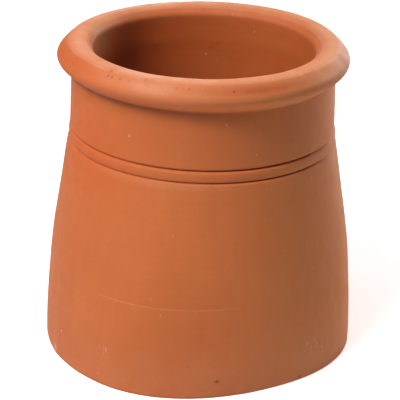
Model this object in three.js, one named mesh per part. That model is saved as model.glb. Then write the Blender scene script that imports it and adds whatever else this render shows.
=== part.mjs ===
// A round roll-top chimney pot of unglazed terracotta, fired in one piece.
//
// The pot is a thick hollow shell turned about the vertical axis and open at
// both ends. From the flat foot the wall flares in through a long convex bell
// to a nearly upright neck. Two V grooves with a low bead between them run
// round the foot of the neck, and a heavy rolled rim crowns it. Towards the
// foot the clay has sagged slightly out of round before firing.
//
// Units are millimetres, +Z is up, the origin is the centre of the foot's
// underside, and -Y is the front.

import * as THREE from 'three';

// Overall form
const height = 300;
const footRadius = 150.3;
const wall = 20;
const footArris = 0.8;

// Outer wall: how far in from the foot's radius it has come at each height
const bandTopHeight = 18;
const bandTopInset = 0.1;
const hipHeight = 46;
const hipInset = 1.0;
const lowBellHeight = 76;
const lowBellInset = 3.1;
const midBellHeight = 106;
const midBellInset = 6.3;
const highBellHeight = 134;
const highBellInset = 10.7;
const shoulderHeight = 162;
const shoulderInset = 15.4;
const collarHeight = 188;
const collarInset = 19.9;

// Neck
const neckFootRadius = 126.1;
const neckTopRadius = 124.5;

// Grooves and the bead between them
const lowerGrooveHeight = 204.9;
const upperGrooveHeight = 216.2;
const grooveDepth = 1.9;
const grooveHalfWidth = 1.7;
const lowerGrooveRadius = 127.7;
const beadRadius = 127.9;
const beadFall = 0.6;

// Rolled rim: radii, and drops measured down from the crown
const crownInnerRadius = 115.5;
const crownOuterRadius = 122.5;
const lipOuterRadius = 126.5;
const lipOuterDrop = 2.6;
const slopeMidRadius = 132.1;
const slopeMidDrop = 5.8;
const slopeFootRadius = 136.3;
const slopeFootDrop = 10.4;
const noseRadius = 137.4;
const noseDrop = 14.2;
const underTopRadius = 136;
const underTopDrop = 18.4;
const underFootDrop = 29;
const lipInnerRadius = 111.8;
const lipInnerDrop = 1.9;
const flueRadius = 104.6;
const flueEdgeDrop = 6.5;

// Sag out of round: greatest shifts of the wall at the foot, and where they end
const skewTwofold = -3.2;
const skewFourfold = -3.2;
const skewTopHeight = 195;

const turnSegments = 72;
const bellSamples = 12;

const bellStations = [
  [footRadius, footArris],
  [footRadius - bandTopInset, bandTopHeight],
  [footRadius - hipInset, hipHeight],
  [footRadius - lowBellInset, lowBellHeight],
  [footRadius - midBellInset, midBellHeight],
  [footRadius - highBellInset, highBellHeight],
  [footRadius - shoulderInset, shoulderHeight],
  [footRadius - collarInset, collarHeight],
  [lowerGrooveRadius, lowerGrooveHeight - grooveHalfWidth],
].map(([radius, z]) => new THREE.Vector2(radius, z));

const bell = new THREE.SplineCurve(bellStations).getPoints(bellSamples);

function at(radius, z) {
  return new THREE.Vector2(radius, z);
}

// Outer face from the foot up, over the rim, and down the flue to the foot.
function outerProfile() {
  const beadMiddle = (lowerGrooveHeight + upperGrooveHeight) / 2;
  return [
    at(footRadius - footArris, 0),
    ...bell,
    at(lowerGrooveRadius - grooveDepth, lowerGrooveHeight),
    at(beadRadius - beadFall, lowerGrooveHeight + grooveHalfWidth),
    at(beadRadius, beadMiddle),
    at(beadRadius - beadFall, upperGrooveHeight - grooveHalfWidth),
    at(neckFootRadius - grooveDepth, upperGrooveHeight),
    at(neckFootRadius, upperGrooveHeight + grooveHalfWidth),
    at(neckTopRadius, height - underFootDrop),
  ];
}

function rimProfile() {
  return [
    at(underTopRadius, height - underTopDrop),
    at(noseRadius, height - noseDrop),
    at(slopeFootRadius, height - slopeFootDrop),
    at(slopeMidRadius, height - slopeMidDrop),
    at(lipOuterRadius, height - lipOuterDrop),
    at(crownOuterRadius, height),
    at(crownInnerRadius, height),
    at(lipInnerRadius, height - lipInnerDrop),
    at(flueRadius, height - flueEdgeDrop),
  ];
}

function flueProfile() {
  const bore = bell.slice(1, -1).map((point) => at(point.x - wall, point.y));
  return [
    at(neckTopRadius - wall, height - underFootDrop),
    at(neckFootRadius - wall, upperGrooveHeight),
    ...bore.reverse(),
    at(footRadius - wall, 0),
  ];
}

// Shift of the wall at a bearing and a height, fading out up the pot.
function skew(bearing, z) {
  const fade = Math.max(0, 1 - z / skewTopHeight);
  const shift = skewTwofold * Math.sin(2 * bearing) + skewFourfold * Math.sin(4 * bearing);
  return fade * shift;
}

function turnedShell() {
  const section = [...outerProfile(), ...rimProfile(), ...flueProfile()];
  section.push(section[0].clone());
  const geometry = new THREE.LatheGeometry(section, turnSegments);
  geometry.rotateX(Math.PI / 2);
  const position = geometry.getAttribute('position');
  for (let i = 0; i < position.count; i += 1) {
    const x = position.getX(i);
    const y = position.getY(i);
    const bearing = Math.atan2(x, -y);
    const radius = Math.hypot(x, y);
    const scale = (radius + skew(bearing, position.getZ(i))) / radius;
    position.setXY(i, x * scale, y * scale);
  }
  position.needsUpdate = true;
  geometry.computeVertexNormals();
  return geometry;
}

const terracotta = new THREE.MeshStandardMaterial({
  color: 0xc0693a,
  roughness: 0.85,
  metalness: 0,
});

const pot = new THREE.Mesh(turnedShell(), terracotta);
pot.name = 'chimney_pot';

const group = new THREE.Group();
group.add(pot);

export default group;
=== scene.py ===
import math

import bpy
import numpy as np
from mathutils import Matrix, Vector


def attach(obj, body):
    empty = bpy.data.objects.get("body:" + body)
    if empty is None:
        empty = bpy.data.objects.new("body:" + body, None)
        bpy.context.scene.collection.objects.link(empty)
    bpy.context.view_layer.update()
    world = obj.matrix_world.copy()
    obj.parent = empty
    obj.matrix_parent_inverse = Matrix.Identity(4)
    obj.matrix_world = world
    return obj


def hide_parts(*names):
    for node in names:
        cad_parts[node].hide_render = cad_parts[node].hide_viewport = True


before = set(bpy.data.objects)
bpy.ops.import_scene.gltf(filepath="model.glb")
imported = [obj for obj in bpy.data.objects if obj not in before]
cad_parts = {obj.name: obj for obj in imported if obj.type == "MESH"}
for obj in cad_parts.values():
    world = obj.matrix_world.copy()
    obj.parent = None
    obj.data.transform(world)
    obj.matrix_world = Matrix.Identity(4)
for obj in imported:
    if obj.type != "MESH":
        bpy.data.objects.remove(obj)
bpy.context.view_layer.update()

# %% [markdown]
# # A roll-top chimney pot
# A chimney pot is one thick shell of fired clay, open at both ends. It flares from a neck to a
# wide foot, two tool grooves run round the neck's foot, and a heavy rolled rim crowns it.
#
# The frame that was just loaded holds the plain measured shell. The loaded shell comes in
# selected, so everything is deselected before anything new is made.

MM = 0.001
bpy.ops.object.select_all(action="DESELECT")


def mm(*values):
    """Millimetres to metres, as one vector."""
    return Vector([value * MM for value in values])


# %% [markdown]
# ## The camera
# The pot is seen from in front and a little above. The place, aim, lens and roll come from
# fitting the pot's outline, its two grooves and the rings of its rim, so that they fall where
# they are seen. A long lens keeps the ellipses of rim and foot close to the same shape.
#
# The camera is made first because every later choice is judged through it. Its axes are built by
# hand from the line of sight, and then turned by the small roll.

# %% Camera
CAMERA_PLACE = Vector((0.0, -1.49447, 0.76919))
CAMERA_AIM = Vector((-0.00067, 0.0, 0.13528))
CAMERA_ROLL = math.radians(-1.581)
LENS_MM = 149.765
SENSOR_MM = 36.0


def sight_axes(place, aim, roll):
    """Right, up and back axes of a camera that looks from place to aim."""
    forward = (aim - place).normalized()
    level_right = forward.cross(Vector((0, 0, 1))).normalized()
    level_down = forward.cross(level_right).normalized()
    right = level_right * math.cos(roll) + level_down * math.sin(roll)
    down = forward.cross(right).normalized()
    return right, -down, -forward


right, up, back = sight_axes(CAMERA_PLACE, CAMERA_AIM, CAMERA_ROLL)
bpy.ops.object.camera_add(location=CAMERA_PLACE)
camera = bpy.context.object
camera.name = "front_camera"
camera.rotation_euler = Matrix((right, up, back)).transposed().to_euler()
camera.data.lens = LENS_MM
camera.data.sensor_width = SENSOR_MM
camera.data.dof.use_dof = False
bpy.context.scene.camera = camera
print("camera looks along", [round(v, 4) for v in -back])

# %% [markdown]
# ## The section of the wall
# A potter shapes such a pot with a template held against turning clay. The template is the
# wall's section, and that is what is drawn first: one closed line, up the outside from the foot,
# over the rim and down the flue.
#
# It could be started from a tube whose rings are scaled one by one, but then every groove and
# round edge has to be pushed into place. A drawn section keeps each size in one spot, and
# spinning it gives clean rings of faces. The sizes are in millimetres and follow the measured
# shell to about one millimetre. The crown is a little lower and rounder, as the real rim's is.

# %% Sizes of the section
HEIGHT = 300.0
WALL = 20.0
FOOT_RADIUS = 150.3
FOOT_ARRIS = 0.8
BELL = [
    (150.3, 0.8), (150.2, 18), (149.0, 46), (146.8, 76), (143.7, 106),
    (139.6, 134), (134.9, 162), (130.9, 188), (128.2, 203.2),
]
LOWER_GROOVE = (125.5, 204.6)
BEAD = [(127.3, 206.0), (127.7, 210.4), (127.3, 214.2)]
UPPER_GROOVE = (123.8, 215.8)
NECK_FOOT = (126.1, 217.6)
NECK_TOP = (124.5, 271.3)
RIM_UNDER = (135.9, 280.2)
RIM_NOSE = (137.4, 284.6)
RIM_SLOPE_FOOT = (136.1, 288.8)
RIM_SLOPE_MIDDLE = (132.3, 293.1)
LIP_OUTER = (127.1, 298.0)
CROWN_OUTER = (124.8, 298.9)
CROWN_MIDDLE = (119.5, 299.0)
CROWN_INNER = (114.0, 298.65)
LIP_INNER = (110.2, 297.35)
FLUE_EDGE = (104.6, 292.0)
FLUE_TOP = (104.5, 271.0)
FLUE_NECK = (106.1, 216.2)
SCORE_HEIGHT = 87.8
SCORE_ROWS = [-1.6, -0.8, -0.35, 0.0, 0.35, 0.8, 1.6]
OUTSIDE_STEP = 2.3
INSIDE_STEP = 6.5
CURVE_COUNT = 400


def curve_through(stations, count):
    """Points on a smooth curve through the stations, as a bent batten gives."""
    points = []
    last = len(stations) - 1
    for index in range(count + 1):
        place = index / count * last
        k = min(int(place), last - 1)
        t = place - k
        p0, p1 = stations[max(k - 1, 0)], stations[k]
        p2, p3 = stations[k + 1], stations[min(k + 2, last)]
        point = []
        for a, b, c, d in zip(p0, p1, p2, p3):
            v0, v1 = (c - a) * 0.5, (d - b) * 0.5
            cubic = (2 * b - 2 * c + v0 + v1) * t ** 3
            square = (-3 * b + 3 * c - 2 * v0 - v1) * t ** 2
            point.append(cubic + square + v0 * t + b)
        points.append(tuple(point))
    return points


def straight(start, end, step):
    """Points between two corners, about a step apart, without the first one."""
    count = max(1, round(math.dist(start, end) / step))
    run, rise = end[0] - start[0], end[1] - start[1]
    return [
        (start[0] + run * i / count, start[1] + rise * i / count)
        for i in range(1, count + 1)
    ]


def radius_at(line, z):
    """Radius of a rising line of points at a height."""
    return float(np.interp(z, [p[1] for p in line], [p[0] for p in line]))


bell_fine = curve_through(BELL, CURVE_COUNT)
score_low = SCORE_HEIGHT + SCORE_ROWS[0]
score_high = SCORE_HEIGHT + SCORE_ROWS[-1]
heights = [FOOT_ARRIS]
heights += [z for _, z in straight((0, FOOT_ARRIS), (0, score_low), OUTSIDE_STEP)]
heights += [SCORE_HEIGHT + row for row in SCORE_ROWS[1:]]
heights += [z for _, z in straight((0, score_high), (0, BELL[-1][1]), OUTSIDE_STEP)]
outside = [(radius_at(bell_fine, z), z) for z in heights]
bore = [p for p in bell_fine if FOOT_ARRIS < p[1] < BELL[-1][1]]
inside_heights = np.arange(BELL[-1][1] - INSIDE_STEP, INSIDE_STEP, -INSIDE_STEP)
inside = [(radius_at(bore, z) - WALL, float(z)) for z in inside_heights]
print("outside has", len(outside), "points and the bore", len(inside))

# %% Join the corners into one line
FOOT_OUTSIDE = (FOOT_RADIUS - FOOT_ARRIS, 0.0)
FOOT_INSIDE = (FOOT_RADIUS - WALL, 0.0)

section = [FOOT_OUTSIDE, *outside, LOWER_GROOVE, *BEAD, UPPER_GROOVE, NECK_FOOT]
section += straight(NECK_FOOT, NECK_TOP, OUTSIDE_STEP)
section += straight(NECK_TOP, RIM_UNDER, OUTSIDE_STEP)
section += [RIM_NOSE, RIM_SLOPE_FOOT, RIM_SLOPE_MIDDLE, LIP_OUTER, CROWN_OUTER, CROWN_MIDDLE]
section += [CROWN_INNER, LIP_INNER, FLUE_EDGE]
section += straight(FLUE_EDGE, FLUE_TOP, INSIDE_STEP)
section += straight(FLUE_TOP, FLUE_NECK, INSIDE_STEP)
section += inside
section += [FOOT_INSIDE]


def wall_middle(level_mm):
    """Radius in millimetres of the middle of the wall, at one height or many."""
    return np.interp(level_mm, [p[1] for p in outside], [p[0] for p in outside]) - WALL / 2


print(len(section), "points in the section")

# %% [markdown]
# ## Drawing the section point by point
# There is no single point among the primitives. A small plane is added on the first corner and
# merged to its centre, which leaves one vertex there. That vertex is then extruded from point to
# point, and the last point is joined to the first.

# %% Draw the section
START_PLANE = 1 * MM


def first_vertex(radius, z):
    """One vertex at a radius and height, from a small plane merged to its centre."""
    bpy.ops.mesh.primitive_plane_add(size=START_PLANE, location=mm(radius, 0, z))
    piece = bpy.context.object
    bpy.ops.object.transform_apply(location=True, rotation=True, scale=True)
    bpy.ops.object.mode_set(mode="EDIT")
    bpy.ops.mesh.select_all(action="SELECT")
    bpy.ops.mesh.merge(type="CENTER")
    return piece


pot = first_vertex(*section[0])
pot.name = "clay_pot"
pot.data.name = "clay_pot"
for (r0, z0), (r1, z1) in zip(section, section[1:]):
    step = mm(r1 - r0, 0, z1 - z0)
    bpy.ops.mesh.extrude_vertices_move(TRANSFORM_OT_translate={"value": step})
bpy.ops.object.mode_set(mode="OBJECT")
print("section drawn with", len(pot.data.vertices), "vertices")

# %% [markdown]
# ## Softening the corners
# Clay has no sharp corners: the template, a wet sponge and the kiln round them all. Each corner
# of the line is bevelled on its own, as a vertex bevel, with the round seen on the real pot. The
# rim's nose is full, its crown has a tighter edge, and the two grooves keep a narrow bottom.

# %% Round the corners of the section
ROUNDS = [
    (FOOT_OUTSIDE, 0.5, 1), (BELL[-1], 0.9, 2), (LOWER_GROOVE, 0.45, 2), (BEAD[0], 0.8, 2),
    (BEAD[2], 0.9, 2), (UPPER_GROOVE, 0.45, 2), (NECK_FOOT, 0.7, 2), (NECK_TOP, 0.9, 3),
    (RIM_UNDER, 1.8, 3), (RIM_NOSE, 1.7, 3), (RIM_SLOPE_FOOT, 1.1, 3),
    (RIM_SLOPE_MIDDLE, 2.2, 2), (LIP_OUTER, 0.4, 2), (CROWN_OUTER, 0.7, 2),
    (CROWN_MIDDLE, 2.0, 2), (CROWN_INNER, 1.6, 3), (LIP_INNER, 1.5, 4), (FLUE_EDGE, 2.6, 4),
    (FOOT_INSIDE, 1.5, 2),
]


def coordinates(piece):
    """All vertices of a piece as rows of x, y and z in metres."""
    flat = np.empty(len(piece.data.vertices) * 3)
    piece.data.vertices.foreach_get("co", flat)
    return flat.reshape(-1, 3)


def choose_vertices(piece, chosen):
    """Selects exactly the vertices of a true-false list, from object mode."""
    mesh = piece.data
    mesh.polygons.foreach_set("select", np.zeros(len(mesh.polygons), bool))
    mesh.edges.foreach_set("select", np.zeros(len(mesh.edges), bool))
    mesh.vertices.foreach_set("select", chosen)


def round_corner(piece, corner, width, segments):
    """Bevels the section's vertex at a corner."""
    corner_at = np.array(mm(corner[0], 0, corner[1]))
    gaps = np.linalg.norm(coordinates(piece) - corner_at, axis=1)
    chosen = gaps < gaps.min() + 1e-7
    choose_vertices(piece, chosen)
    bpy.ops.object.mode_set(mode="EDIT")
    bpy.ops.mesh.bevel(
        offset=width * MM, segments=segments, affect="VERTICES", clamp_overlap=True
    )
    bpy.ops.object.mode_set(mode="OBJECT")


bpy.ops.object.mode_set(mode="EDIT")
bpy.ops.mesh.select_mode(type="VERT")
bpy.ops.object.mode_set(mode="OBJECT")
for corner, width, segments in ROUNDS:
    round_corner(pot, corner, width, segments)
print("rounded to", len(pot.data.vertices), "vertices")

# %% [markdown]
# ## Spinning the shell
# The line becomes a shell in one turn about the flue's axis, just as the clay turned under the
# template. The last ring meets the first, so doubles are merged, and the faces are then turned
# to point out of the clay.

# %% Spin
TURN_STEPS = 360
SEAM_GAP = 0.02
FOOT_CUTS = 2


def close_section(piece):
    """Joins the section's two open ends, which are its lowest points on the foot."""
    ends = np.zeros(len(piece.data.vertices), int)
    for edge in piece.data.edges:
        for vertex in edge.vertices:
            ends[vertex] += 1
    choose_vertices(piece, ends == 1)
    bpy.ops.object.mode_set(mode="EDIT")
    bpy.ops.mesh.edge_face_add()
    bpy.ops.mesh.subdivide(number_cuts=FOOT_CUTS)
    bpy.ops.object.mode_set(mode="OBJECT")


close_section(pot)
bpy.ops.object.mode_set(mode="EDIT")
bpy.ops.mesh.select_all(action="SELECT")
bpy.ops.mesh.spin(steps=TURN_STEPS, angle=math.tau, center=(0, 0, 0), axis=(0, 0, 1))
bpy.ops.mesh.select_all(action="SELECT")
bpy.ops.mesh.remove_doubles(threshold=SEAM_GAP * MM)
bpy.ops.mesh.normals_make_consistent(inside=False)
bpy.ops.object.mode_set(mode="OBJECT")
print("shell has", len(pot.data.polygons), "faces")

# %% [markdown]
# ## Sagged out of round
# A wet shell this heavy does not stay round. Standing on a board, its foot slumps a few
# millimetres, more to some sides than to others, while the stiff rim holds its circle. The lower
# edge of the real pot shows this as a bottom line that does not match the rings above it.
#
# No operator makes this exact shape, so the vertices are shifted in code. Two waves run round
# the pot, greatest at the foot and gone below the grooves, as on the measured shell. The front
# of the foot is a little fuller still, and that swell fades out within the lowest part of the
# bell.

# %% Sag
SAG_TWOFOLD = -3.2
SAG_FOURFOLD = -3.2
SAG_TOP = 195.0
FOOT_SWELL = [
    (-93, 0), (-80, 1.6), (-62, 3.5), (-40, 1.4), (-20, 1.3),
    (5, 1.8), (18, 1.9), (34, 0.9), (50, 0.5), (75, 0),
]
SWELL_TOP = 85.0


def put_coordinates(piece, rows):
    """Writes rows of x, y and z back to a piece's vertices."""
    piece.data.vertices.foreach_set("co", rows.ravel())
    piece.data.update()


def polar(rows):
    """Bearing from the front in radians, radius and height of each row."""
    return np.arctan2(rows[:, 0], -rows[:, 1]), np.hypot(rows[:, 0], rows[:, 1]), rows[:, 2]


def shift_wall(piece, shift):
    """Moves each vertex outwards from the axis by its own amount in metres."""
    rows = coordinates(piece)
    radius = np.hypot(rows[:, 0], rows[:, 1])
    rows[:, :2] *= ((radius + shift) / radius)[:, None]
    put_coordinates(piece, rows)


bearing, radius, height = polar(coordinates(pot))
waves = SAG_TWOFOLD * np.sin(2 * bearing) + SAG_FOURFOLD * np.sin(4 * bearing)
fade = np.clip(1 - height / (SAG_TOP * MM), 0, None)
swell_bearings = [swell_bearing for swell_bearing, _ in FOOT_SWELL]
swell_amounts = [amount for _, amount in FOOT_SWELL]
swell = np.interp(np.degrees(bearing), swell_bearings, swell_amounts)
swell *= np.clip(1 - height / (SWELL_TOP * MM), 0, None) ** 2
shift_wall(pot, (waves * fade + swell) * MM)
print("sag shifts the foot by up to", round(float(np.abs(waves).max()), 2), "mm")

# %% [markdown]
# ## Neck and rim out of true
# The top was shaped by hand after the bell, so it isn't quite true either. The neck stands a
# fraction of a millimetre to the left, the rim is a touch higher at the back and most of all at
# the back right, and its nose is a little fuller on the left.
#
# Each is a soft shift in code that fades in over the height, or to both sides of a bearing, so
# that no ring is broken. Proportional editing by hand would do the same, but less evenly.

# %% Neck and rim out of true
NECK_SLIDE, SLIDE_FROM, SLIDE_TO = -0.6, 125.0, 215.0
RIM_TIP, RIM_TIP_FROM, RIM_TIP_TO = 0.3, 240.0, 283.0
LIFT_BEARING, LIFT_SPREAD, LIFT_HEIGHT = 138.0, 42.0, 1.35
FULL_BEARING, FULL_SPREAD, FULL_DEPTH = -78.0, 34.0, 0.8


def settle(piece, rise, slide, start, end):
    """Lifts the back and slides the wall sideways, more and more from start to end height."""
    rows = coordinates(piece)
    grip = np.clip((rows[:, 2] / MM - start) / (end - start), 0, 1)
    grip = grip * grip * (3 - 2 * grip)
    rows[:, 0] += slide * MM * grip
    rows[:, 2] += rise * grip * rows[:, 1] / RIM_NOSE[0]
    put_coordinates(piece, rows)


def bump(value, centre, half_width):
    """One at the centre, falling smoothly to nothing beyond the half width."""
    return np.exp(-(((value - centre) / half_width) ** 2))


def facing(degrees, centre, spread):
    """One at a bearing, falling softly to both sides of it, all the way round."""
    return bump((degrees - centre + 180) % 360 - 180, 0, spread)


settle(pot, 0, NECK_SLIDE, SLIDE_FROM, SLIDE_TO)
settle(pot, RIM_TIP, 0, RIM_TIP_FROM, RIM_TIP_TO)
rows = coordinates(pot)
bearing, radius, height = polar(rows)
degrees = np.degrees(bearing)
grip = np.clip((height / MM - RIM_TIP_FROM) / (RIM_TIP_TO - RIM_TIP_FROM), 0, 1) ** 2
rows[:, 2] += LIFT_HEIGHT * MM * grip * facing(degrees, LIFT_BEARING, LIFT_SPREAD)
put_coordinates(pot, rows)
nose = np.clip((radius / MM - LIP_OUTER[0]) / (RIM_NOSE[0] - LIP_OUTER[0]), 0, 1)
shift_wall(pot, FULL_DEPTH * MM * nose * grip * facing(degrees, FULL_BEARING, FULL_SPREAD))
print("rim's highest point is at", round(float(coordinates(pot)[:, 2].max()) / MM, 2), "mm")

# %% [markdown]
# ## Marks of the making
# The wall keeps traces of its making: faint rings where the template's edge chattered, stronger
# ones in the bore where no template reached, and a low soft ridge round the bell where two lifts
# of clay were pressed together. These are a few tenths of a millimetre high, so the light shows
# them and the outline does not.
#
# A texture could fake them, but they are real relief, so they go into the mesh. The rings come
# from a seeded random line over the height, which gives the same pot every time.

# %% Rings and ridge
RING_SEED = 11
RING_SPACING = 1.6
RING_DEPTH_OUTSIDE = 0.045
RING_DEPTH_BORE = 0.28
RIDGE_HEIGHT = 0.42
RIDGE_HALF_WIDTH = 3.0
RIDGE_LEFT = (84.0, -70.0, 14.0)
RIDGE_RIGHT = (94.0, 60.0, 22.0)
CALM_FOOT = 4.0


def ring_line(seed, spacing, reach):
    """A random line over the height, smoothed so that rings have soft flanks."""
    random = np.random.default_rng(seed)
    knots = np.arange(-spacing, reach + spacing, spacing)
    values = random.normal(0, 1, len(knots))
    soft = np.convolve(values, [0.25, 0.5, 0.25], mode="same")
    return knots, soft


bearing, radius, height = polar(coordinates(pot))
degrees, level = np.degrees(bearing), height / MM
in_bore = radius < wall_middle(level) * MM
knots, line = ring_line(RING_SEED, RING_SPACING, HEIGHT)
bore_knots, bore_line = ring_line(RING_SEED + 1, INSIDE_STEP, HEIGHT)
rings = np.where(
    in_bore,
    RING_DEPTH_BORE * np.interp(level, bore_knots, bore_line),
    RING_DEPTH_OUTSIDE * np.interp(level, knots, line),
)
ridge = np.zeros(len(level))
for ridge_level, ridge_bearing, ridge_spread in (RIDGE_LEFT, RIDGE_RIGHT):
    window = bump(degrees, ridge_bearing, ridge_spread)
    ridge += RIDGE_HEIGHT * window * bump(level, ridge_level, RIDGE_HALF_WIDTH)
clear_of_foot = np.clip(level / CALM_FOOT, 0, 1)
shift_wall(pot, (rings + np.where(in_bore, 0, ridge)) * clear_of_foot * MM)
print("rings lie within", round(float(np.abs(rings).max()), 2), "mm, the ridge is", RIDGE_HEIGHT)

# %% [markdown]
# ## A join in the bore and worn grooves
# Inside the mouth a shallow ring shows where the rim was joined on. Outside, the two grooves are
# worn and filled at the left and right, where the pot was held, and the bead between them has
# sunk there.
#
# The groove could be cut only part of the way round, but a turned groove is whole at first and
# wears later. So the same is done here: the gap under a line that bridges the grooves is filled
# by a share that grows towards both sides.

# %% Join and worn grooves
BORE_JOIN, BORE_JOIN_HALF_WIDTH, BORE_JOIN_DEPTH = 264.0, 3.5, 0.35
WORN_BEARING, WORN_SPREAD = 82.0, 17.0
BEAD_WORN, BEAD_WORN_HALF_WIDTH = 0.7, 5.0

join = BORE_JOIN_DEPTH * bump(level, BORE_JOIN, BORE_JOIN_HALF_WIDTH)
shift_wall(pot, np.where(in_bore, -join, 0) * MM)
bridge = [BELL[-1], BEAD[0], BEAD[2], NECK_FOOT]
bridge_levels = [z for _, z in bridge]
gap = np.interp(level, bridge_levels, [out for out, _ in bridge]) - radius / MM
in_groove = (level > bridge_levels[0]) & (level < bridge_levels[-1]) & (gap > 0) & ~in_bore
worn = bump(np.abs(degrees), WORN_BEARING, WORN_SPREAD)
shift_wall(pot, np.where(in_groove, gap * worn, 0) * MM)
worn_bead = BEAD_WORN * worn * bump(level, BEAD[1][1], BEAD_WORN_HALF_WIDTH)
shift_wall(pot, np.where(in_bore, 0, -worn_bead) * MM)
filled = float((gap * worn)[in_groove].max())
print("grooves filled at the sides by up to", round(filled, 2), "mm")

# %% [markdown]
# ## Chips, pits and specks
# Firing opens small pits where grit or air sat under the skin, mostly on the rim where the clay
# was worked last. Lime and grog show as pale specks, handling chips the foot, and a scored line
# runs part of the way round the bell.
#
# Each mark has its bearing from the front and its height, read off the real pot. The faces round
# it are subdivided, so that a mark a millimetre wide has its own vertices.

# %% Places of the marks
RIM_PITS = [
    (-40.6, 297.9, 1.0), (-40.5, 294.9, 1.0), (-38.0, 295.3, 1.0), (-34.0, 294.9, 0.9),
    (-30.0, 295.8, 0.7), (-23.3, 296.0, 0.8), (-10.0, 295.6, 0.6), (-5.7, 295.3, 0.6),
    (-40.9, 293.0, 0.4), (-37.8, 292.4, 0.35),
    (1.0, 294.3, 0.4), (11.8, 293.0, 1.0),
]
BODY_PITS = [
    (7.5, 16.2, 1.0), (-3.5, 32.5, 0.35), (48.9, 104.6, 0.45), (66.1, 154.3, 0.5),
    (-41.8, 111.0, 0.35), (-14.8, 158.5, 0.2), (-18.9, 161.2, 0.2), (2.9, 145.9, 0.25),
]
PALE_SPECKS = [
    (-31.3, 240.3, 0.9), (9.6, 259.2, 0.6), (23.2, 228.3, 0.5), (-17.0, 96.7, 0.45),
    (-12.7, 80.9, 0.5), (-58.9, 27.4, 1.0), (-33.3, 38.6, 0.8), (-33.3, 34.6, 0.7),
    (-35.8, 9.5, 0.4), (45.4, 35.9, 0.9), (49.7, 30.0, 0.8), (52.7, 26.1, 0.8),
    (-10.3, 156.9, 0.35), (35.3, 134.8, 0.45), (46.9, 298.4, 0.8), (43.0, 298.0, 0.6),
    (28.5, 298.2, 0.5),
]
BORE_SPECKS = [
    (179.0, 253.0, 0.8), (152.7, 277.7, 0.6), (168.0, 228.0, 0.25), (168.4, 242.2, 0.3),
    (173.0, 245.7, 0.25), (-151.6, 262.6, 0.2), (174.6, 267.8, 0.2), (160.3, 249.3, 0.25),
]
SCUFFS = [(-33.6, 36.0, 4.0, 7), (49.0, 31.0, 6.0, 10), (-63.0, 17.0, 7.0, 9)]
SCUFF_SEED = 23
SCUFF_TIGHTNESS, SCUFF_LOWEST, SCUFF_STRENGTHS = 0.6, 4.0, (0.2, 0.5)
DASHES = [
    (66.5, 148.0, 0.5), (69.0, 128.0, 0.45), (71.5, 112.0, 0.5), (64.0, 118.0, 0.3),
    (73.0, 96.0, 0.4), (-67.0, 56.0, 0.4), (-66.0, 43.5, 0.35),
]
FOOT_NICK = (42.3, 3.0)
RIM_CHIP = [(-98.7, 294.2), (-95.0, 294.5), (-91.0, 294.6)]
MARK_REACH, MARK_CUTS = 2.6, 3
BORE_REACH, BORE_CUTS = 5.0, 6


def place_of(piece, bearing_deg, level_mm, bore=False):
    """The point of the wall's outer or inner face at a bearing and height."""
    rows = coordinates(piece)
    turn, out, up_z = polar(rows)
    inner = out < wall_middle(up_z / MM) * MM
    gap_turn = np.angle(np.exp(1j * (turn - math.radians(bearing_deg)))) * out
    gap = np.hypot(gap_turn, up_z - level_mm * MM)
    gap[inner != bore] = np.inf
    return rows[int(np.argmin(gap))]


def subdivide_near(piece, places, reach, cuts):
    """Cuts the faces near any of the places into finer ones."""
    centres = np.empty(len(piece.data.polygons) * 3)
    piece.data.polygons.foreach_get("center", centres)
    centres = centres.reshape(-1, 3)
    near = np.zeros(len(centres), bool)
    for place in places:
        near |= np.linalg.norm(centres - place, axis=1) < reach * MM
    choose_vertices(piece, np.zeros(len(piece.data.vertices), bool))
    piece.data.polygons.foreach_set("select", near)
    bpy.ops.object.mode_set(mode="EDIT")
    bpy.ops.mesh.select_mode(type="FACE")
    bpy.ops.mesh.subdivide(number_cuts=cuts)
    bpy.ops.mesh.select_mode(type="VERT")
    bpy.ops.object.mode_set(mode="OBJECT")
    return int(near.sum())


def scatter(scuffs, seed):
    """Small faint specks strewn round each scuff: bearing, height and strength of each."""
    random = np.random.default_rng(seed)
    made = []
    for scuff_bearing, scuff_level, spread, count in scuffs:
        for _ in range(count):
            aside, above = random.normal(0, spread * SCUFF_TIGHTNESS, 2)
            turn = scuff_bearing + math.degrees(aside / FOOT_RADIUS)
            level_mm = max(SCUFF_LOWEST, scuff_level + above)
            made.append((turn, level_mm, random.uniform(*SCUFF_STRENGTHS)))
    return made


def places_of(piece, marks_list, bore=False):
    """The surface points of a list of marks, each with its strength."""
    return [(place_of(piece, turn, up_z, bore), strength) for turn, up_z, strength in marks_list]


print("marks listed:", len(RIM_PITS + BODY_PITS + PALE_SPECKS + BORE_SPECKS + DASHES))

# %% Cut the faces finer at the marks
rim_pits = places_of(pot, RIM_PITS)
body_pits = places_of(pot, BODY_PITS)
specks = places_of(pot, PALE_SPECKS + scatter(SCUFFS, SCUFF_SEED))
dashes = places_of(pot, DASHES)
bore_specks = places_of(pot, BORE_SPECKS, bore=True)
nick_place = place_of(pot, *FOOT_NICK)
chip_places = [place_of(pot, *mark, bore=True) for mark in RIM_CHIP]
all_places = [spot for spot, _ in rim_pits + body_pits + specks + dashes]
all_places += chip_places + [nick_place]
bore_places = [spot for spot, _ in bore_specks]
cut_faces = subdivide_near(pot, all_places, MARK_REACH, MARK_CUTS)
cut_faces += subdivide_near(pot, bore_places, BORE_REACH, BORE_CUTS)
print("marks:", len(all_places + bore_places), "faces cut finer:", cut_faces)

# %% [markdown]
# ## Pushing the marks into the clay
# Only the strong marks are deep enough to catch the light. Pits, nick and chips go in, and the
# biggest specks of lime stand a little proud. Shrink-fatten moves one vertex for each along its
# normal, with proportional editing for a soft edge. The faint marks are left to colour.

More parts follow.
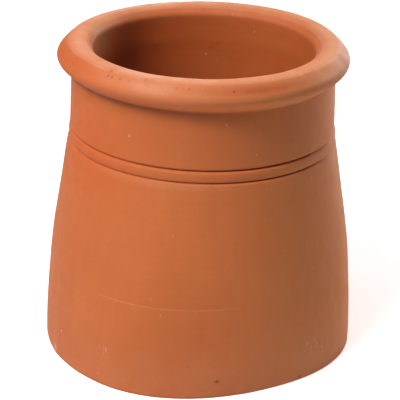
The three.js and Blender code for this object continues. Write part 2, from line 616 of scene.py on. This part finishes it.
# %% Push the pits in
DEEP = 0.45
RIM_PIT_DEPTH, RIM_PIT_RADIUS = 0.7, 1.3
BODY_PIT_DEPTH, BODY_PIT_RADIUS = 0.45, 1.2
NICK_DEPTH, NICK_RADIUS = 0.7, 2.6
CHIP_DEPTH, CHIP_RADIUS = 0.9, 2.2
SPECK_RISE, SPECK_RADIUS = 0.12, 1.1


def nearest_vertices(piece, places):
    """True for the one vertex of the piece nearest to each place."""
    rows = coordinates(piece)
    chosen = np.zeros(len(rows), bool)
    for place in places:
        chosen[int(np.argmin(np.linalg.norm(rows - place, axis=1)))] = True
    return chosen


def push(piece, places, amount, reach):
    """Moves the surface at the places along its normal, with a soft falloff."""
    choose_vertices(piece, nearest_vertices(piece, places))
    bpy.ops.object.mode_set(mode="EDIT")
    bpy.ops.transform.shrink_fatten(
        value=amount * MM,
        use_proportional_edit=True,
        proportional_edit_falloff="SMOOTH",
        proportional_size=reach * MM,
    )
    bpy.ops.object.mode_set(mode="OBJECT")


def strong(placed):
    """The places of the marks that are strong enough to be relief."""
    return [spot for spot, strength in placed if strength >= DEEP]


before = coordinates(pot)
push(pot, strong(rim_pits), -RIM_PIT_DEPTH, RIM_PIT_RADIUS)
push(pot, strong(body_pits), -BODY_PIT_DEPTH, BODY_PIT_RADIUS)
push(pot, [nick_place], -NICK_DEPTH, NICK_RADIUS)
push(pot, chip_places, -CHIP_DEPTH, CHIP_RADIUS)
push(pot, strong(specks), SPECK_RISE, SPECK_RADIUS)
moved = np.linalg.norm(coordinates(pot) - before, axis=1)
print("deepest mark is", round(float(moved.max()) / MM, 2), "mm deep")

# %% [markdown]
# ## An uneven skin
# Even smooth clay is never quite even: a hand or a sponge leaves broad shallow hollows and a
# finer orange-peel. Two cloud displacements give both, one soft and wide, one fine and very
# shallow. They are applied, so the relief is part of the mesh. The foot is then flattened again,
# because it was cut and dried on a board.

# %% Uneven skin
BROAD_SIZE, BROAD_RELIEF = 34, 0.42
FINE_SIZE, FINE_RELIEF = 7, 0.10
FLAT_BELOW = 0.45


def press_clouds(piece, name, size, relief):
    """Displaces the piece by soft clouds of a size and a total relief in millimetres."""
    clouds = bpy.data.textures.new(name, type="CLOUDS")
    clouds.noise_scale = size * MM
    clouds.noise_depth = 2
    bpy.context.view_layer.objects.active = piece
    piece.select_set(True)
    bpy.ops.object.modifier_add(type="DISPLACE")
    press = piece.modifiers[-1]
    press.texture = clouds
    press.texture_coords = "LOCAL"
    press.strength = relief * MM
    press.mid_level = 0.5
    bpy.ops.object.modifier_apply(modifier=press.name)


press_clouds(pot, "hand_hollows", BROAD_SIZE, BROAD_RELIEF)
press_clouds(pot, "orange_peel", FINE_SIZE, FINE_RELIEF)
choose_vertices(pot, coordinates(pot)[:, 2] < FLAT_BELOW * MM)
bpy.ops.object.mode_set(mode="EDIT")
bpy.ops.transform.resize(value=(1, 1, 0), center_override=(0, 0, 0))
bpy.ops.mesh.select_all(action="DESELECT")
bpy.ops.object.mode_set(mode="OBJECT")
print("foot lies at", round(float(coordinates(pot)[:, 2].min()) / MM, 3), "mm")

# %% [markdown]
# ## Where colour follows the marks
# The finish has to know where the specks, pits, scored line, bloom, stains, painted highlights
# and painted shade are. Each is painted on the vertices as a named attribute, from nought to
# one, because it belongs to a spot of this surface and not to a pattern in space. The fine faces
# round each mark carry it sharply.
#
# Bloom, stains, painted highlights and painted shade are soft strokes, as with a wide brush.
# Each has a bearing and its spread, a place on the section with its reach, and a strength.

# %% Sizes of the painted marks
PALE_SPOT, PALE_TALL = 0.55, 1.9
DARK_SPOT, DASH_TALL = 0.85, 3.0
BLOTCH = (-63.4, 5.8)
BLOTCH_SPOT = 2.4
BLOTCH_STRENGTH = 0.8
WIDE_SPOT = 1.6
NICK_STRENGTH, FOOT_PIT_STRENGTH = 0.8, 1.0
SCORE_FROM, SCORE_START, SCORE_FADE, SCORE_TO = -39.4, 2.0, 4.0, 19.0
SCORE_HALF_WIDTH = 0.34
SCORE_SEED, SCORE_STEP, SCORE_FAINTEST = 5, 2, 0.45
print("a speck is about", PALE_SPOT, "mm across and a pit", DARK_SPOT, "mm")

# %% Strokes of bloom, stain, painted highlight and painted shade
INNER_SLOPE, CROWN, OUTER_SLOPE = (109.0, 296.0), (119.5, 299.0), (132.8, 292.0)
# Lime bloom, and painted highlights: along the crease at the rim's outer edge and in the band
# under the lower groove.
BLOOM_AND_HIGHLIGHT_STROKES = [
    (-20, 28, CROWN, 6.0, 0.45), (-22, 18, OUTER_SLOPE, 6.0, 0.30),
    (-22, 45, (111.0, 297.6), 3.5, 0.55), (20, 25, (112.0, 297.8), 3.0, 0.30),
    (-150, 28, (122.0, 299.0), 6.0, 0.50), (-120, 18, INNER_SLOPE, 5.0, 0.15),
    (60, 14, LIP_OUTER, 1.6, 0.22), (-46, 5, LIP_OUTER, 1.5, 0.16),
    (-12, 42, (136.4, 282.2), 4.5, 0.09), (-90, 25, CROWN, 5.0, 0.30),
    (62, 16, OUTER_SLOPE, 6.0, 0.20), (175, 25, CROWN, 5.0, 0.20),
    (-18, 28, (128.6, 200.5), 3.0, 0.12), (-165, 60, (128.0, 297.6), 4.0, 0.35),
]
# Deep red clay, which on the rim's outer slope also stands as painted shade, darker than the
# crown.
DEEP_RED_AND_SHADE_STROKES = [
    (-80, 36, OUTER_SLOPE, 9.0, 1.0), (20, 24, (132.3, 292.8), 4.2, 1.0),
    (110, 50, INNER_SLOPE, 6.0, 0.90), (-55, 16, LIP_OUTER, 4.0, 0.45),
    (175, 40, INNER_SLOPE, 5.0, 0.25), (95, 16, (135.0, 288.0), 8.0, 0.80),
]
# Painted shade, stroke by stroke: the shadowed left of the bore, a patch low on its right, the
# crease under the rim and the rim's shadow on the neck, both ends of the rim's nose, and the
# inner slope on the right.
PAINTED_SHADE_STROKES = [
    (-133, 13, (105.0, 255.0), 44.0, 0.60), (134, 6, (106.0, 228.0), 16.0, 0.20),
    (-40, 42, (125.3, 270.6), 2.9, 0.64), (4, 30, (124.8, 268.0), 4.5, 0.22),
    (94, 14, (137.0, 285.5), 6.5, 0.20), (-84, 14, (137.0, 285.0), 6.0, 0.16),
    (100, 24, INNER_SLOPE, 6.0, 0.10),
]
ORANGE_STROKES = [
    (-56, 26, (128.0, 218.0), 52.0, 0.75),
    (-70, 28, (134.0, 290.0), 8.0, 0.95),
]
# Painted shade, brownish, at the left edge of the bore and its inner slope.
BROWN_SHADE_STROKES = [
    (-108, 11, (105.0, 278.0), 24.0, 0.55),
    (-112, 10, INNER_SLOPE, 5.0, 0.40),
]
print("strokes of bloom", len(BLOOM_AND_HIGHLIGHT_STROKES), "and of soot", len(PAINTED_SHADE_STROKES))

# %% Spots and strokes
SPOT_LEAST, SPOT_GROWTH = 0.7, 0.5


def spots(rows, placed, spot, tall=1.0):
    """Each mark's strength at its place, falling to nothing within a few spot sizes."""
    value = np.zeros(len(rows))
    for place, strength in placed:
        gap = np.linalg.norm((rows - place) / (1, 1, tall), axis=1)
        reach = spot * MM * (SPOT_LEAST + SPOT_GROWTH * strength)
        value = np.maximum(value, strength * np.exp(-((gap / reach) ** 2)))
    return value


def brush(rows, strokes):
    """Soft strokes. Below the rim, one on one face doesn't show through to the other."""
    turn, out, up_z = polar(rows)
    value = np.zeros(len(rows))
    in_flue = out / MM < wall_middle(up_z / MM)
    for centre, spread, (stroke_out, stroke_up), reach, strength in strokes:
        gap = np.hypot(out / MM - stroke_out, up_z / MM - stroke_up)
        stroke = strength * facing(np.degrees(turn), centre, spread) * bump(gap, 0, reach)
        if stroke_up < FLUE_EDGE[1]:
            stroke *= in_flue == (stroke_out < wall_middle(stroke_up))
        value += stroke
    return value


def paint(piece, name, values):
    """Stores one value for each vertex under a name."""
    layer = piece.data.attributes.new(name, type="FLOAT", domain="POINT")
    layer.data.foreach_set("value", np.clip(values, 0, 1).astype(np.float32))


rows = coordinates(pot)
blotch = [(place_of(pot, *BLOTCH), BLOTCH_STRENGTH)]
foot_pit = place_of(pot, *BODY_PITS[0][:2])
wide_dark = [(nick_place, NICK_STRENGTH), (foot_pit, FOOT_PIT_STRENGTH)]
pale = spots(rows, specks + bore_specks, PALE_SPOT, PALE_TALL)
pale = np.maximum(pale, spots(rows, blotch, BLOTCH_SPOT))
dark = spots(rows, rim_pits + body_pits, DARK_SPOT)
dark = np.maximum(dark, spots(rows, wide_dark, WIDE_SPOT * DARK_SPOT))
dark = np.maximum(dark, spots(rows, dashes, PALE_SPOT, DASH_TALL))
print("strongest pale mark is", round(float(pale.max()), 2))

# %% Scored line
bearing, radius, height = polar(rows)
degrees, level = np.degrees(bearing), height / MM
started = np.clip((degrees - SCORE_FROM) / SCORE_START, 0, 1)
fading = np.clip((SCORE_TO - degrees) / (SCORE_TO - SCORE_FADE), 0, 1)
score_knots = np.arange(-180, 180 + SCORE_STEP, SCORE_STEP)
break_up = np.random.default_rng(SCORE_SEED).uniform(SCORE_FAINTEST, 1.0, len(score_knots))
broken = np.interp(degrees, score_knots, break_up)
outer_face = radius > wall_middle(level) * MM
score = bump(level, SCORE_HEIGHT, SCORE_HALF_WIDTH) * started * fading * broken * outer_face
print("scored line covers", int((score > 0.2).sum()), "vertices")

# %% Paint them all
paint(pot, "pale_marks", pale)
paint(pot, "dark_marks", dark)
paint(pot, "score", score)
paint(pot, "bloom_and_highlight", brush(rows, BLOOM_AND_HIGHLIGHT_STROKES))
paint(pot, "deep", brush(rows, DEEP_RED_AND_SHADE_STROKES))
paint(pot, "painted_shade", brush(rows, PAINTED_SHADE_STROKES))
paint(pot, "brown_shade", brush(rows, BROWN_SHADE_STROKES))
paint(pot, "orange", brush(rows, ORANGE_STROKES))
print("painted", [layer.name for layer in pot.data.attributes if layer.data_type == "FLOAT"])

# %% [markdown]
# ## Fired clay
# Unglazed terracotta is matt and warm. Its colour drifts over a hand's breadth with the heat of
# the kiln, is mottled like skin over a finger's breadth, and is grained by sand at a millimetre.
# Lime rises as a pale bloom where the clay dried fastest, on the rim and the lowest edge, and
# the bottoms of the grooves are painted darker, as shade.
#
# An image could hold all this, but it would show its pixels close to. Noise read from Object
# coordinates runs through the clay like the real mixture does, at any distance and from every
# side. Small tools that place and link the nodes come first, and then each step adds one layer
# to the colour.

# %% Small tools for building a material
clay = bpy.data.materials.new("fired_terracotta")
clay.use_nodes = True
tree = clay.node_tree
shader = tree.nodes["Principled BSDF"]


def place(kind, **settings):
    """A new node with its settings."""
    made = tree.nodes.new(kind)
    for name, value in settings.items():
        setattr(made, name, value)
    return made


def feed(socket, source):
    """Links a source socket, or writes a plain value."""
    if isinstance(source, bpy.types.NodeSocket):
        tree.links.new(source, socket)
    else:
        socket.default_value = source


def between(value, low, high, to_low=0.0, to_high=1.0):
    """Maps a range of a value to another range, smoothly and with its ends held."""
    made = place("ShaderNodeMapRange", interpolation_type="SMOOTHSTEP")
    feed(made.inputs["Value"], value)
    limits = {"From Min": low, "From Max": high, "To Min": to_low, "To Max": to_high}
    for name, limit in limits.items():
        made.inputs[name].default_value = limit
    return made.outputs["Result"]


def calculate(operation, first, second=0.0):
    """One step of arithmetic."""
    made = place("ShaderNodeMath", operation=operation)
    feed(made.inputs[0], first)
    feed(made.inputs[1], second)
    return made.outputs["Value"]


def times(first, second):
    """One value as a share of another."""
    return calculate("MULTIPLY", first, second)


def layer(under, over, factor, mode="MIX"):
    """Lays one colour over another by a factor."""
    made = place("ShaderNodeMix", data_type="RGBA", blend_type=mode)
    feed(made.inputs[0], factor)
    feed(made.inputs[6], under)
    feed(made.inputs[7], over)
    return made.outputs[2]


def marks(name):
    """A painted attribute as a value."""
    return place("ShaderNodeAttribute", attribute_name=name).outputs["Fac"]


print("tools ready for", clay.name)

# %% [markdown]
# ## Finding the way on the pot
# The finish differs between left and right, low and high, outside and bore, and all of it can be
# read from the Object coordinates. A spot is on the outside if it lies further from the axis
# than the middle of the wall.

# %% Across, upward and outside
BELL_HEIGHT, BELL_MIDDLE = 0.05, 0.1395
NECK_HEIGHT, NECK_MIDDLE = 0.20, 0.1165
SIDE_BLEND = 0.002

coords = place("ShaderNodeTexCoord")
apart = place("ShaderNodeSeparateXYZ")
feed(apart.inputs["Vector"], coords.outputs["Object"])
across, upward = apart.outputs["X"], apart.outputs["Z"]
level_place = place("ShaderNodeVectorMath", operation="MULTIPLY")
feed(level_place.inputs[0], coords.outputs["Object"])
level_place.inputs[1].default_value = (1, 1, 0)
axis_gap = place("ShaderNodeVectorMath", operation="LENGTH")
feed(axis_gap.inputs[0], level_place.outputs["Vector"])
outward = axis_gap.outputs["Value"]
wall_centre = between(upward, BELL_HEIGHT, NECK_HEIGHT, BELL_MIDDLE, NECK_MIDDLE)
on_outside = between(calculate("SUBTRACT", outward, wall_centre), -SIDE_BLEND, SIDE_BLEND)
print("outside blends into bore over", 2 * SIDE_BLEND, "m")

# %% [markdown]
# ## The clay itself
# A deep and a warm shade drift through each other over a hand's breadth, with the plain colour
# laid half over them. A finger-wide mottle warms it. Long runs left by drying and rings left by
# turning darken it a little. They are noise too, stretched upright or round.

# %% Clay body
CLAY = (0.55, 0.140, 0.036, 1)
CLAY_DEEP = (0.49, 0.115, 0.0275, 1)
CLAY_WARM = (0.585, 0.158, 0.0435, 1)
PLAIN_SHARE, MOTTLE_SHARE, RUN_SHARE, TURN_SHARE = 0.45, 0.40, 0.22, 0.16


def noise(size_mm, detail=3.0, roughness=0.5, stretch=None):
    """Noise with features of about a size, read from Object coordinates."""
    vector = coords.outputs["Object"]
    if stretch:
        mapping = place("ShaderNodeMapping")
        feed(mapping.inputs["Vector"], vector)
        mapping.inputs["Scale"].default_value = stretch
        vector = mapping.outputs["Vector"]
    made = place("ShaderNodeTexNoise")
    feed(made.inputs["Vector"], vector)
    made.inputs["Scale"].default_value = 1 / (size_mm * MM)
    made.inputs["Detail"].default_value = detail
    made.inputs["Roughness"].default_value = roughness
    return made.outputs["Fac"]


kiln_drift = between(noise(90, detail=2.0), low=0.32, high=0.68)
finger_mottle = between(noise(14, detail=4.0, roughness=0.6), low=0.30, high=0.70)
sand_grain = noise(1.1, detail=2.0, roughness=0.6)
run_marks = between(noise(9, roughness=0.55, stretch=(1, 1, 0.12)), low=0.35, high=0.72)
turn_marks = between(noise(5, stretch=(0.04, 0.04, 1)), low=0.30, high=0.70)

colour = layer(CLAY_DEEP, CLAY_WARM, kiln_drift)
colour = layer(colour, CLAY, PLAIN_SHARE)
colour = layer(colour, CLAY_WARM, times(finger_mottle, MOTTLE_SHARE))
colour = layer(colour, CLAY_DEEP, times(run_marks, RUN_SHARE))
colour = layer(colour, CLAY_DEEP, times(turn_marks, TURN_SHARE))
print("clay body has", len(tree.nodes), "nodes")

# %% [markdown]
# ## Bore and sand grain
# Inside the flue the clay is deeper in colour, and its turning rings are more orange. Over all
# of it lies the sand, which makes the colour a very little darker or lighter from grain to
# grain. Multiplying keeps the hue.

# %% Bore and sand grain
CLAY_BORE = (0.445, 0.100, 0.020, 1)
CLAY_ORANGE = (0.56, 0.106, 0.021, 1)
MOUTH_TOP, MOUTH_END = 0.300, 0.288
BORE_SHARE, BORE_TURN_SHARE = 0.9, 0.30
GRAIN_DARK, GRAIN_LIGHT = 0.97, 1.03

on_inside = calculate("SUBTRACT", 1.0, on_outside)
bore_shade = times(between(upward, MOUTH_TOP, MOUTH_END), on_inside)
colour = layer(colour, CLAY_BORE, times(bore_shade, BORE_SHARE))
bore_turns = between(turn_marks, 0.45, 1.0, to_high=BORE_TURN_SHARE)
colour = layer(colour, CLAY_ORANGE, times(bore_shade, bore_turns))
grain_shade = between(sand_grain, 0.30, 0.70, GRAIN_DARK, GRAIN_LIGHT)
grain_colour = place("ShaderNodeCombineColor")
for channel in ("Red", "Green", "Blue"):
    feed(grain_colour.inputs[channel], grain_shade)
colour = layer(colour, grain_colour.outputs["Color"], 1.0, "MULTIPLY")
print("bore and grain laid,", len(tree.nodes), "nodes")

# %% [markdown]
# ## Greyer side, bloom, stains and painted light
# The right side is greyer, with thin upright streaks of dust, and dust lies on the right of the
# rim. Lime has bloomed on the crown and along the lowest edge. The painted strokes come on top:
# orange and deep red from the firing, the deep red also laid as painted shade on the rim's
# slope, bloom with painted highlights, painted shade under the rim, at its ends and in the bore,
# and a brownish painted shade at the bore's left edge. A wide noise breaks up bloom and red, so
# that no stroke shows its round shape.

# %% Grey side
CLAY_GREY = (0.56, 0.188, 0.054, 1)
DUST = (0.56, 0.30, 0.19, 1)
GREY_FULL_AT, GREY_SHARE = 0.12, 0.65
STREAK_SHARE = 0.15

grey_side = times(between(across, 0.0, GREY_FULL_AT, to_high=GREY_SHARE), on_outside)
long_noise = noise(5, detail=4.0, roughness=0.65, stretch=(1, 1, 0.22))
streaks = between(long_noise, 0.45, 0.70, to_high=STREAK_SHARE)
colour = layer(colour, CLAY_GREY, grey_side)
colour = layer(colour, DUST, times(streaks, grey_side))
print("grey from the middle to", GREY_FULL_AT, "m on the right")

# %% Bloom, stains, painted highlights and painted shade
CLAY_RED_AND_SHADE = (0.42, 0.080, 0.011, 1)
PAINTED_SHADE = (0.14, 0.038, 0.015, 1)
BROWN_SHADE = (0.42, 0.21, 0.085, 1)
BLOOM_AND_HIGHLIGHT = (0.72, 0.38, 0.24, 1)
RIM_STARTS, SLOPE_ENDS = 0.281, 0.290
CROWN_STARTS, CROWN_FULL = 0.2966, 0.2982
SLOPE_BLOOM, CROWN_BLOOM = 0.04, 0.22
FOOT_BLOOM, FOOT_BLOOM_TOP = 0.10, 0.075

patches = between(noise(22, detail=4.0, roughness=0.6), 0.35, 0.62, 0.65, 1.1)
rim_bloom = between(upward, CROWN_STARTS, CROWN_FULL, SLOPE_BLOOM, CROWN_BLOOM)
rim_bloom = times(rim_bloom, between(upward, RIM_STARTS, SLOPE_ENDS))
foot_bloom = between(upward, 0.0, FOOT_BLOOM_TOP, FOOT_BLOOM, 0.0)
# Lime bloom, with painted highlights from some of the strokes.
bloom_and_highlight = calculate("ADD", calculate("ADD", rim_bloom, foot_bloom), marks("bloom_and_highlight"))
colour = layer(colour, CLAY_ORANGE, times(marks("orange"), on_outside))
# Deep red, partly painted shade on the rim's slope.
colour = layer(colour, CLAY_RED_AND_SHADE, times(marks("deep"), patches))
colour = layer(colour, BLOOM_AND_HIGHLIGHT, times(bloom_and_highlight, patches))
# Painted shade: darkens the crease and neck under the rim, the rim's ends and parts of the bore.
colour = layer(colour, PAINTED_SHADE, marks("painted_shade"))
# Brownish painted shade at the bore's left edge.
colour = layer(colour, BROWN_SHADE, marks("brown_shade"))
print("bloom and stains laid,", len(tree.nodes), "nodes")

# %% Dust on the rim
DUSTY_FROM, DUSTY_FULL = 0.098, 0.130
SLOPE_STARTS = 0.288
DUST_LEAST, DUST_MOST = 0.20, 0.50

rim_right = between(across, DUSTY_FROM, DUSTY_FULL)
rim_right = times(rim_right, between(upward, RIM_STARTS, SLOPE_STARTS))
dust_patches = noise(7, detail=5.0, roughness=0.7)
dust_patches = between(dust_patches, 0.38, 0.60, DUST_LEAST, DUST_MOST)
colour = layer(colour, DUST, times(rim_right, dust_patches))
print("dust lies beyond", DUSTY_FROM, "m on the right")

# %% [markdown]
# ## Painted shade in the grooves
# The bottom of both grooves is painted darker, as shade. It is read from the height alone, as a
# thin dark line. It is thickest right of the front, fades to the left, and ends where the
# grooves are worn.

# %% Painted shade in the grooves
GROOVE_SHADE_PAINT = (0.17, 0.030, 0.006, 1)
SHADE_HALF_WIDTH, SHADE_CORE = 0.9, 0.25
SHADE_FROM, SHADE_FULL, SHADE_SHARE = -0.10, 0.09, 0.95
WORN_FROM, WORN_FULL, WORN_REST = 0.096, 0.112, 0.05


def groove_shade(level_mm, half_width_mm):
    """One on the bottom of a groove and nothing beside it, inside and out."""
    gap = calculate("ABSOLUTE", calculate("SUBTRACT", upward, level_mm * MM))
    return between(gap, SHADE_CORE * half_width_mm * MM, half_width_mm * MM, 1.0, 0.0)


lower_groove_shade_paint = groove_shade(LOWER_GROOVE[1], SHADE_HALF_WIDTH)
upper_groove_shade_paint = groove_shade(UPPER_GROOVE[1], SHADE_HALF_WIDTH)
grooves = times(calculate("MAXIMUM", lower_groove_shade_paint, upper_groove_shade_paint), on_outside)
grooves = times(grooves, between(across, SHADE_FROM, SHADE_FULL, to_high=SHADE_SHARE))
grooves = times(grooves, between(across, WORN_FULL, WORN_FROM, to_low=WORN_REST))
# Painted shade: the groove bottoms are darkened, most on the right.
colour = layer(colour, GROOVE_SHADE_PAINT, grooves)
# The heights printed are those of the painted groove shade.
print("dirt lies at", LOWER_GROOVE[1], "and", UPPER_GROOVE[1], "mm")

# %% [markdown]
# ## Flecks, specks and pits
# Fine flecks of lime and burnt grit are everywhere, so noise with a high threshold makes them.
# The marks with a place of their own come last, so that nothing covers them.

# %% Flecks and painted marks
PIT_DARK = (0.16, 0.030, 0.008, 1)
SPECK_PALE = (0.80, 0.48, 0.31, 1)
SCORE_PALE = (0.80, 0.34, 0.14, 1)
FLECK_FROM, FLECK_FULL, FLECK_SHARE = 0.77, 0.82, 0.35
SPECK_SHARE, SCORE_SHARE, PIT_SHARE = 0.8, 0.5, 0.8


def flecks(size_mm):
    """Sparse flecks of about a size, where the noise is highest."""
    fine = noise(size_mm, detail=1.0, roughness=0.4)
    return between(fine, FLECK_FROM, FLECK_FULL, to_high=FLECK_SHARE)


colour = layer(colour, SPECK_PALE, flecks(size_mm=1.7))
colour = layer(colour, PIT_DARK, flecks(size_mm=2.3))
colour = layer(colour, SPECK_PALE, times(marks("pale_marks"), SPECK_SHARE))
colour = layer(colour, SCORE_PALE, times(marks("score"), SCORE_SHARE))
colour = layer(colour, PIT_DARK, times(marks("dark_marks"), PIT_SHARE))
feed(shader.inputs["Base Color"], colour)
print("colour has", len(tree.nodes), "nodes")

# %% [markdown]
# ## Matt skin
# Fired clay without a glaze scatters light almost evenly. Its roughness follows the mottle a
# little, and a bump of about a tenth of a millimetre gives the sandy feel.

# %% Matt skin and bump
GRAIN_RELIEF, GRAIN_STRENGTH, GRAIN_SHARE = 0.12, 0.3, 0.6
ROUGHNESS_LOW, ROUGHNESS_HIGH = 0.62, 0.78
GLOSS = 0.3

rough = between(finger_mottle, 0.0, 1.0, ROUGHNESS_LOW, ROUGHNESS_HIGH)
feed(shader.inputs["Roughness"], rough)
coarse_sand = noise(3.2, roughness=0.55)
skin = calculate("ADD", times(sand_grain, GRAIN_SHARE), coarse_sand)
bump_node = place("ShaderNodeBump")
bump_node.inputs["Strength"].default_value = GRAIN_STRENGTH
bump_node.inputs["Distance"].default_value = GRAIN_RELIEF * MM
feed(bump_node.inputs["Height"], skin)
feed(shader.inputs["Normal"], bump_node.outputs["Normal"])
shader.inputs["Metallic"].default_value = 0.0
shader.inputs["Specular IOR Level"].default_value = GLOSS

pot.data.materials.clear()
pot.data.materials.append(clay)
bpy.ops.object.select_all(action="DESELECT")
bpy.context.view_layer.objects.active = pot
pot.select_set(True)
bpy.ops.object.shade_smooth()
print("material on", pot.name)

# %% [markdown]
# ## Table
# The pot stands on a plain white table, wide enough to have no edge in sight. White paper would
# look grey under these lamps, so the table shines a little, but for the camera alone, and the
# pot gets no light from that.

# %% Table
TABLE_SIZE = 30.0
TABLE_WHITE = (0.88, 0.88, 0.88, 1)
TABLE_GLOW = 0.50
PAPER_ROUGHNESS, PAPER_GLOSS = 0.9, 0.1

bpy.ops.mesh.primitive_plane_add(size=TABLE_SIZE, location=(0, 0, 0))
table = bpy.context.object
table.name = "white_table"
white = bpy.data.materials.new("white_paper")
white.use_nodes = True
paper = white.node_tree.nodes["Principled BSDF"]
paper.inputs["Base Color"].default_value = TABLE_WHITE
paper.inputs["Roughness"].default_value = PAPER_ROUGHNESS
paper.inputs["Specular IOR Level"].default_value = PAPER_GLOSS
paper.inputs["Emission Color"].default_value = (1, 1, 1, 1)
sight = white.node_tree.nodes.new("ShaderNodeLightPath")
glow = white.node_tree.nodes.new("ShaderNodeMath")
glow.operation = "MULTIPLY"
glow.inputs[1].default_value = TABLE_GLOW
white.node_tree.links.new(sight.outputs["Is Camera Ray"], glow.inputs[0])
white.node_tree.links.new(glow.outputs["Value"], paper.inputs["Emission Strength"])
table.data.materials.append(white)
print("table is", TABLE_SIZE, "m wide")

# %% [markdown]
# ## Lamps
# Two soft lamps side by side, high on the left in front, model the round body from bright left
# to shaded right and put the rim's shadow on the neck. One overhead lights the crown and the
# mouth, a weak one on the left fills the dark edge, and a large low one behind on the right
# draws a light edge there. All are square and wide, because a small lamp would give hard
# shadows.
#
# Each has its bearing from the front and its elevation in degrees, its width in metres and its
# power in watts.

# %% Lamps
LAMPS = {
    "key_lamp": (-54, 45, 0.55, 19),
    "high_key_lamp": (-39, 59, 0.55, 19),
    "top_lamp": (0, 84, 0.8, 8.5),
    "left_lamp": (-90, 30, 0.8, 1.7),
    "back_lamp": (139, 15, 1.5, 33),
}
LAMP_DISTANCE = 2.0
LAMP_AIM = Vector((0, 0, 0.17))


def soft_lamp(name, bearing_deg, elevation_deg, size, power):
    """A square soft lamp at a bearing from the front, aimed at the pot."""
    turn, lift = math.radians(bearing_deg), math.radians(elevation_deg)
    flat = math.cos(lift)
    away = Vector((math.sin(turn) * flat, -math.cos(turn) * flat, math.sin(lift)))
    bpy.ops.object.light_add(type="AREA", location=LAMP_AIM + away * LAMP_DISTANCE)
    lamp = bpy.context.object
    lamp.name = name
    lamp.rotation_euler = away.to_track_quat("Z", "Y").to_euler()
    lamp.data.size = size
    lamp.data.energy = power
    lamp.visible_camera = False


for name, settings in LAMPS.items():
    soft_lamp(name, *settings)
print("lamps lit:", len(LAMPS))

# %% [markdown]
# ## Surroundings
# The pot is seen against pure white, as before a bright backdrop far behind it. The camera and
# the faint gloss of the clay see that white, but it lights the pot much less than it shines,
# because light from everywhere would wash out the round of the body.

# %% Surroundings
SURROUND_LIGHT, SURROUND_WHITE = 0.04, 1.0

studio = bpy.data.worlds.new("studio")
bpy.context.scene.world = studio
studio.use_nodes = True
sky = studio.node_tree
dim = sky.nodes["Background"]
dim.inputs["Color"].default_value = (1, 1, 1, 1)
dim.inputs["Strength"].default_value = SURROUND_LIGHT
bright = sky.nodes.new("ShaderNodeBackground")
bright.inputs["Color"].default_value = (1, 1, 1, 1)
bright.inputs["Strength"].default_value = SURROUND_WHITE
paths = sky.nodes.new("ShaderNodeLightPath")
seen = sky.nodes.new("ShaderNodeMath")
seen.operation = "MAXIMUM"
choice = sky.nodes.new("ShaderNodeMixShader")
sky.links.new(paths.outputs["Is Camera Ray"], seen.inputs[0])
sky.links.new(paths.outputs["Is Glossy Ray"], seen.inputs[1])
sky.links.new(seen.outputs["Value"], choice.inputs["Fac"])
sky.links.new(dim.outputs["Background"], choice.inputs[1])
sky.links.new(bright.outputs["Background"], choice.inputs[2])
sky.links.new(choice.outputs["Shader"], sky.nodes["World Output"].inputs["Surface"])
bpy.context.scene.view_settings.view_transform = "Standard"
print("surroundings lit")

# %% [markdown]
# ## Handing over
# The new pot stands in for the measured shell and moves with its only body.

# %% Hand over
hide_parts("chimney_pot")
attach(pot, "root")
